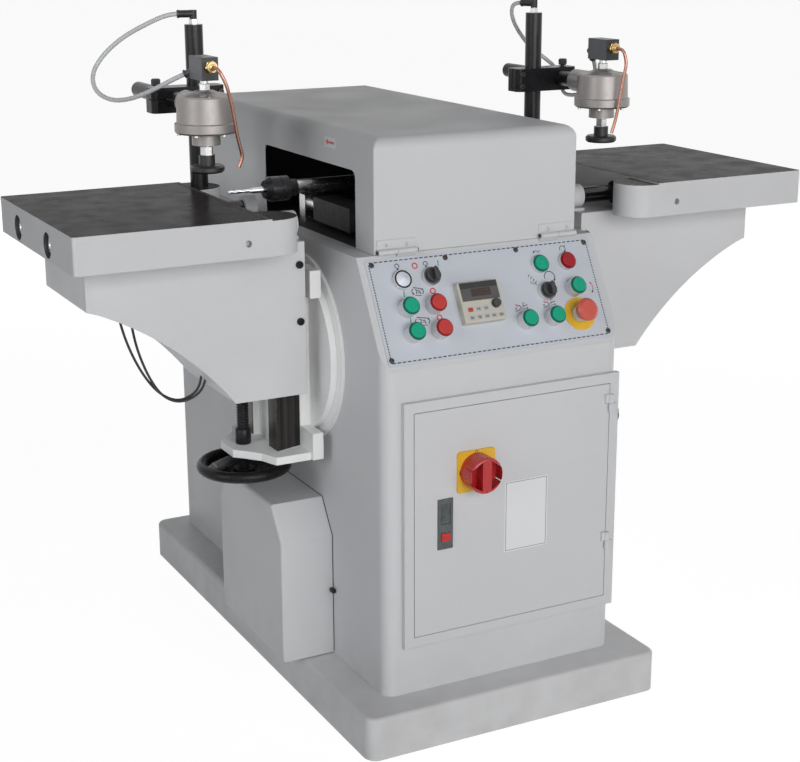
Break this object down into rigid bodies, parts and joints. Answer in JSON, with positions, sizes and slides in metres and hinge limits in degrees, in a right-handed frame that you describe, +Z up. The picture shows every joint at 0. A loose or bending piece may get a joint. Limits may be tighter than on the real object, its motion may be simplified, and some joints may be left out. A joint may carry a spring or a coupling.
{
  "type": "oscillating mortiser",
  "caption": "Free-standing oscillating mortiser with a hooded spindle, a sloping control panel and a swivelling, clamping work table on each side.",
  "frame": {"origin": "middle of the plinth's foot, on the floor", "axes": "+X to the operator's right, +Y to the back, +Z up"},
  "size_m": [1.4, 1.066, 1.2071],
  "materials": {
    "paint_grey": "semi-gloss, light warm grey",
    "panel_blue_white": "satin, printed control panel",
    "machined_iron": "oiled, ground table top",
    "painted_iron": "painted casting",
    "bright_steel": "ground",
    "black_steel": "black oxide",
    "cast_aluminium": "turned casting",
    "black_gloss": "moulded, gloss",
    "black_matte": "moulded, matte",
    "collar_black": "moulded, matte",
    "button_green": "moulded, gloss",
    "button_red": "moulded, gloss",
    "stop_red": "moulded, gloss",
    "knob_black": "moulded, gloss",
    "plate_yellow": "moulded, satin",
    "knob_red": "moulded, gloss",
    "beige_plastic": "moulded case",
    "latch_grey": "moulded, matte",
    "latch_red": "moulded",
    "brass_copper": "drawn tube and turned fitting",
    "hose_clear": "translucent hose",
    "cable_black": "sheathed cable",
    "dark_motor": "painted, satin"
  },
  "bodies": {
    "frame": {"base_plinth": "paint_grey", "column_casing": "paint_grey", "belt_cover": "paint_grey", "swivel_rings": "painted_iron", "control_panel": "panel_blue_white", "button_collars": "collar_black", "display_unit": "beige_plastic", "slide_rods": "bright_steel", "oscillation_gearbox": "dark_motor"},
    "hood": {"spindle_hood": "paint_grey"},
    "door": {"cabinet_door": "paint_grey", "switch_plate": "plate_yellow", "door_latch": "latch_grey"},
    "main_switch": {"main_switch_knob": "knob_red"},
    "latch_push": {"latch_button": "latch_red"},
    "left_table_start": {"left_table_start_button": "button_green"},
    "left_table_stop": {"left_table_stop_button": "button_red"},
    "right_table_start": {"right_table_start_button": "button_green"},
    "right_table_stop": {"right_table_stop_button": "button_red"},
    "spindle_start": {"spindle_start_button": "button_green"},
    "spindle_stop": {"spindle_stop_button": "button_red"},
    "oscillation_start": {"oscillation_start_button": "button_green"},
    "left_clamp": {"left_clamp_button": "button_green"},
    "right_clamp": {"right_clamp_button": "button_green"},
    "emergency_stop": {"emergency_stop_button": "stop_red"},
    "mode_select": {"mode_selector": "knob_black"},
    "rotation_select": {"rotation_selector": "knob_black"},
    "speed_set": {"speed_knob": "knob_black"},
    "carriage": {"spindle_carriage": "painted_iron", "spindle_motor": "dark_motor"},
    "spindle": {"spindle_shaft": "black_steel", "mortising_bit": "bright_steel"},
    "crank": {"crank_wheel": "bright_steel"},
    "right_way": {"right_slide_way": "painted_iron"},
    "right_screw": {"right_lead_screw": "bright_steel", "right_handwheel": "black_gloss"},
    "right_knee": {"right_knee": "painted_iron", "right_guide_bars": "bright_steel"},
    "right_table": {"right_table": "machined_iron"},
    "right_post": {"right_clamp_post": "black_steel"},
    "right_arm": {"right_clamp_arm": "black_steel"},
    "right_bar": {"right_cross_bar": "black_steel", "right_air_cylinder": "cast_aluminium", "right_blow_valve": "brass_copper", "right_air_hose": "hose_clear"},
    "right_plunger": {"right_plunger": "black_steel"},
    "left_way": {"left_slide_way": "painted_iron"},
    "left_screw": {"left_lead_screw": "bright_steel", "left_handwheel": "black_gloss"},
    "left_knee": {"left_knee": "painted_iron", "left_guide_bars": "bright_steel", "left_knee_cables": "cable_black"},
    "left_table": {"left_table": "machined_iron"},
    "left_post": {"left_clamp_post": "black_steel"},
    "left_arm": {"left_clamp_arm": "black_steel"},
    "left_bar": {"left_cross_bar": "black_steel", "left_air_cylinder": "cast_aluminium", "left_blow_valve": "brass_copper", "left_air_hose": "hose_clear"},
    "left_plunger": {"left_plunger": "black_steel"}
  },
  "joints": [
    {"name": "hood_tilt", "type": "hinge", "parent": "frame", "child": "hood", "pos_m": [0, -0.3795, 0.831], "axis": [1, 0, 0], "range_deg": [0, 85]},
    {"name": "door_swing", "type": "hinge", "parent": "frame", "child": "door", "pos_m": [0.207, -0.4845, 0.381], "axis": [0, 0, 1], "range_deg": [0, 110]},
    {"name": "main_switch_turn", "type": "hinge", "parent": "door", "child": "main_switch", "pos_m": [-0.063, -0.48, 0.466], "axis": [0, 1, 0], "range_deg": [0, 90]},
    {"name": "latch_button_push", "type": "slide", "parent": "door", "child": "latch_push", "axis": [0, 1, 0], "range_m": [0, 0.003], "stiffness_N_per_m": 800},
    {"name": "left_table_start_push", "type": "slide", "parent": "frame", "child": "left_table_start", "axis": [0, 0.8734, -0.4869], "range_m": [0, 0.004], "stiffness_N_per_m": 800},
    {"name": "left_table_stop_push", "type": "slide", "parent": "frame", "child": "left_table_stop", "axis": [0, 0.8734, -0.4869], "range_m": [0, 0.004], "stiffness_N_per_m": 800},
    {"name": "right_table_start_push", "type": "slide", "parent": "frame", "child": "right_table_start", "axis": [0, 0.8734, -0.4869], "range_m": [0, 0.004], "stiffness_N_per_m": 800},
    {"name": "right_table_stop_push", "type": "slide", "parent": "frame", "child": "right_table_stop", "axis": [0, 0.8734, -0.4869], "range_m": [0, 0.004], "stiffness_N_per_m": 800},
    {"name": "spindle_start_push", "type": "slide", "parent": "frame", "child": "spindle_start", "axis": [0, 0.8734, -0.4869], "range_m": [0, 0.004], "stiffness_N_per_m": 800},
    {"name": "spindle_stop_push", "type": "slide", "parent": "frame", "child": "spindle_stop", "axis": [0, 0.8734, -0.4869], "range_m": [0, 0.004], "stiffness_N_per_m": 800},
    {"name": "oscillation_start_push", "type": "slide", "parent": "frame", "child": "oscillation_start", "axis": [0, 0.8734, -0.4869], "range_m": [0, 0.004], "stiffness_N_per_m": 800},
    {"name": "left_clamp_push", "type": "slide", "parent": "frame", "child": "left_clamp", "axis": [0, 0.8734, -0.4869], "range_m": [0, 0.004], "stiffness_N_per_m": 800},
    {"name": "right_clamp_push", "type": "slide", "parent": "frame", "child": "right_clamp", "axis": [0, 0.8734, -0.4869], "range_m": [0, 0.004], "stiffness_N_per_m": 800},
    {"name": "emergency_stop_push", "type": "slide", "parent": "frame", "child": "emergency_stop", "axis": [0, 0.8734, -0.4869], "range_m": [0, 0.005], "stiffness_N_per_m": 900},
    {"name": "mode_selector_turn", "type": "hinge", "parent": "frame", "child": "mode_select", "pos_m": [-0.106, -0.40671, 0.79017], "axis": [0, -0.8734, 0.4869], "range_deg": [-45, 45]},
    {"name": "rotation_selector_turn", "type": "hinge", "parent": "frame", "child": "rotation_select", "pos_m": [0.107, -0.43057, 0.74737], "axis": [0, -0.8734, 0.4869], "range_deg": [-45, 45]},
    {"name": "speed_knob_turn", "type": "hinge", "parent": "frame", "child": "speed_set", "pos_m": [-0.004, -0.44103, 0.73889], "axis": [0, -0.8734, 0.4869], "range_deg": [-135, 135]},
    {"name": "carriage_stroke", "type": "slide", "parent": "frame", "child": "carriage", "axis": [0, -1, 0], "range_m": [-0.02892, 0.02892]},
    {"name": "spindle_spin", "type": "hinge", "parent": "carriage", "child": "spindle", "pos_m": [0, -0.157, 0.913], "axis": [1, 0, 0], "continuous": true},
    {"name": "crank_turn", "type": "hinge", "parent": "frame", "child": "crank", "pos_m": [-0.045, -0.03, 0.831], "axis": [0, 0, 1], "range_deg": [-40.5, 40.5]},
    {"name": "right_table_swivel", "type": "hinge", "parent": "frame", "child": "right_way", "pos_m": [0.2363, -0.158, 0.631], "axis": [1, 0, 0], "range_deg": [-10, 10]},
    {"name": "right_knee_lift", "type": "slide", "parent": "right_way", "child": "right_knee", "axis": [0, 0, 1], "range_m": [-0.08, 0.004]},
    {"name": "right_screw_turn", "type": "hinge", "parent": "right_way", "child": "right_screw", "pos_m": [0.352, -0.158, 0.458], "axis": [0, 0, 1], "range_deg": [-6500, 6500]},
    {"name": "right_table_feed", "type": "slide", "parent": "right_knee", "child": "right_table", "axis": [-1, 0, 0], "range_m": [0, 0.06]},
    {"name": "right_post_swing", "type": "hinge", "parent": "right_table", "child": "right_post", "pos_m": [0.35, 0.02, 0.9], "axis": [0, 0, -1], "range_deg": [-30, 20]},
    {"name": "right_arm_lift", "type": "slide", "parent": "right_post", "child": "right_arm", "axis": [0, 0, 1], "range_m": [-0.02, 0.06], "deforming": ["right_air_hose"]},
    {"name": "right_bar_slide", "type": "slide", "parent": "right_arm", "child": "right_bar", "axis": [0, 1, 0], "range_m": [-0.03, 0.03]},
    {"name": "right_plunger_stroke", "type": "slide", "parent": "right_bar", "child": "right_plunger", "axis": [0, 0, -1], "range_m": [0, 0.035], "stiffness_N_per_m": 400, "springref_m": -0.08},
    {"name": "left_table_swivel", "type": "hinge", "parent": "frame", "child": "left_way", "pos_m": [-0.2363, -0.158, 0.631], "axis": [1, 0, 0], "range_deg": [-10, 10]},
    {"name": "left_knee_lift", "type": "slide", "parent": "left_way", "child": "left_knee", "axis": [0, 0, 1], "range_m": [-0.08, 0.004]},
    {"name": "left_screw_turn", "type": "hinge", "parent": "left_way", "child": "left_screw", "pos_m": [-0.352, -0.158, 0.458], "axis": [0, 0, 1], "range_deg": [-6500, 6500]},
    {"name": "left_table_feed", "type": "slide", "parent": "left_knee", "child": "left_table", "axis": [1, 0, 0], "range_m": [0, 0.06]},
    {"name": "left_post_swing", "type": "hinge", "parent": "left_table", "child": "left_post", "pos_m": [-0.35, 0.02, 0.9], "axis": [0, 0, 1], "range_deg": [-30, 20]},
    {"name": "left_arm_lift", "type": "slide", "parent": "left_post", "child": "left_arm", "axis": [0, 0, 1], "range_m": [-0.02, 0.06], "deforming": ["left_air_hose"]},
    {"name": "left_bar_slide", "type": "slide", "parent": "left_arm", "child": "left_bar", "axis": [0, 1, 0], "range_m": [-0.03, 0.03]},
    {"name": "left_plunger_stroke", "type": "slide", "parent": "left_bar", "child": "left_plunger", "axis": [0, 0, -1], "range_m": [0, 0.035], "stiffness_N_per_m": 400, "springref_m": -0.08}
  ],
  "couplings": [
    {"joint": "crank_turn", "follows": "carriage_stroke", "rad_per_m": -24.136},
    {"joint": "right_screw_turn", "follows": "right_knee_lift", "rad_per_m": 1256.6},
    {"joint": "left_screw_turn", "follows": "left_knee_lift", "rad_per_m": 1256.6}
  ]
}
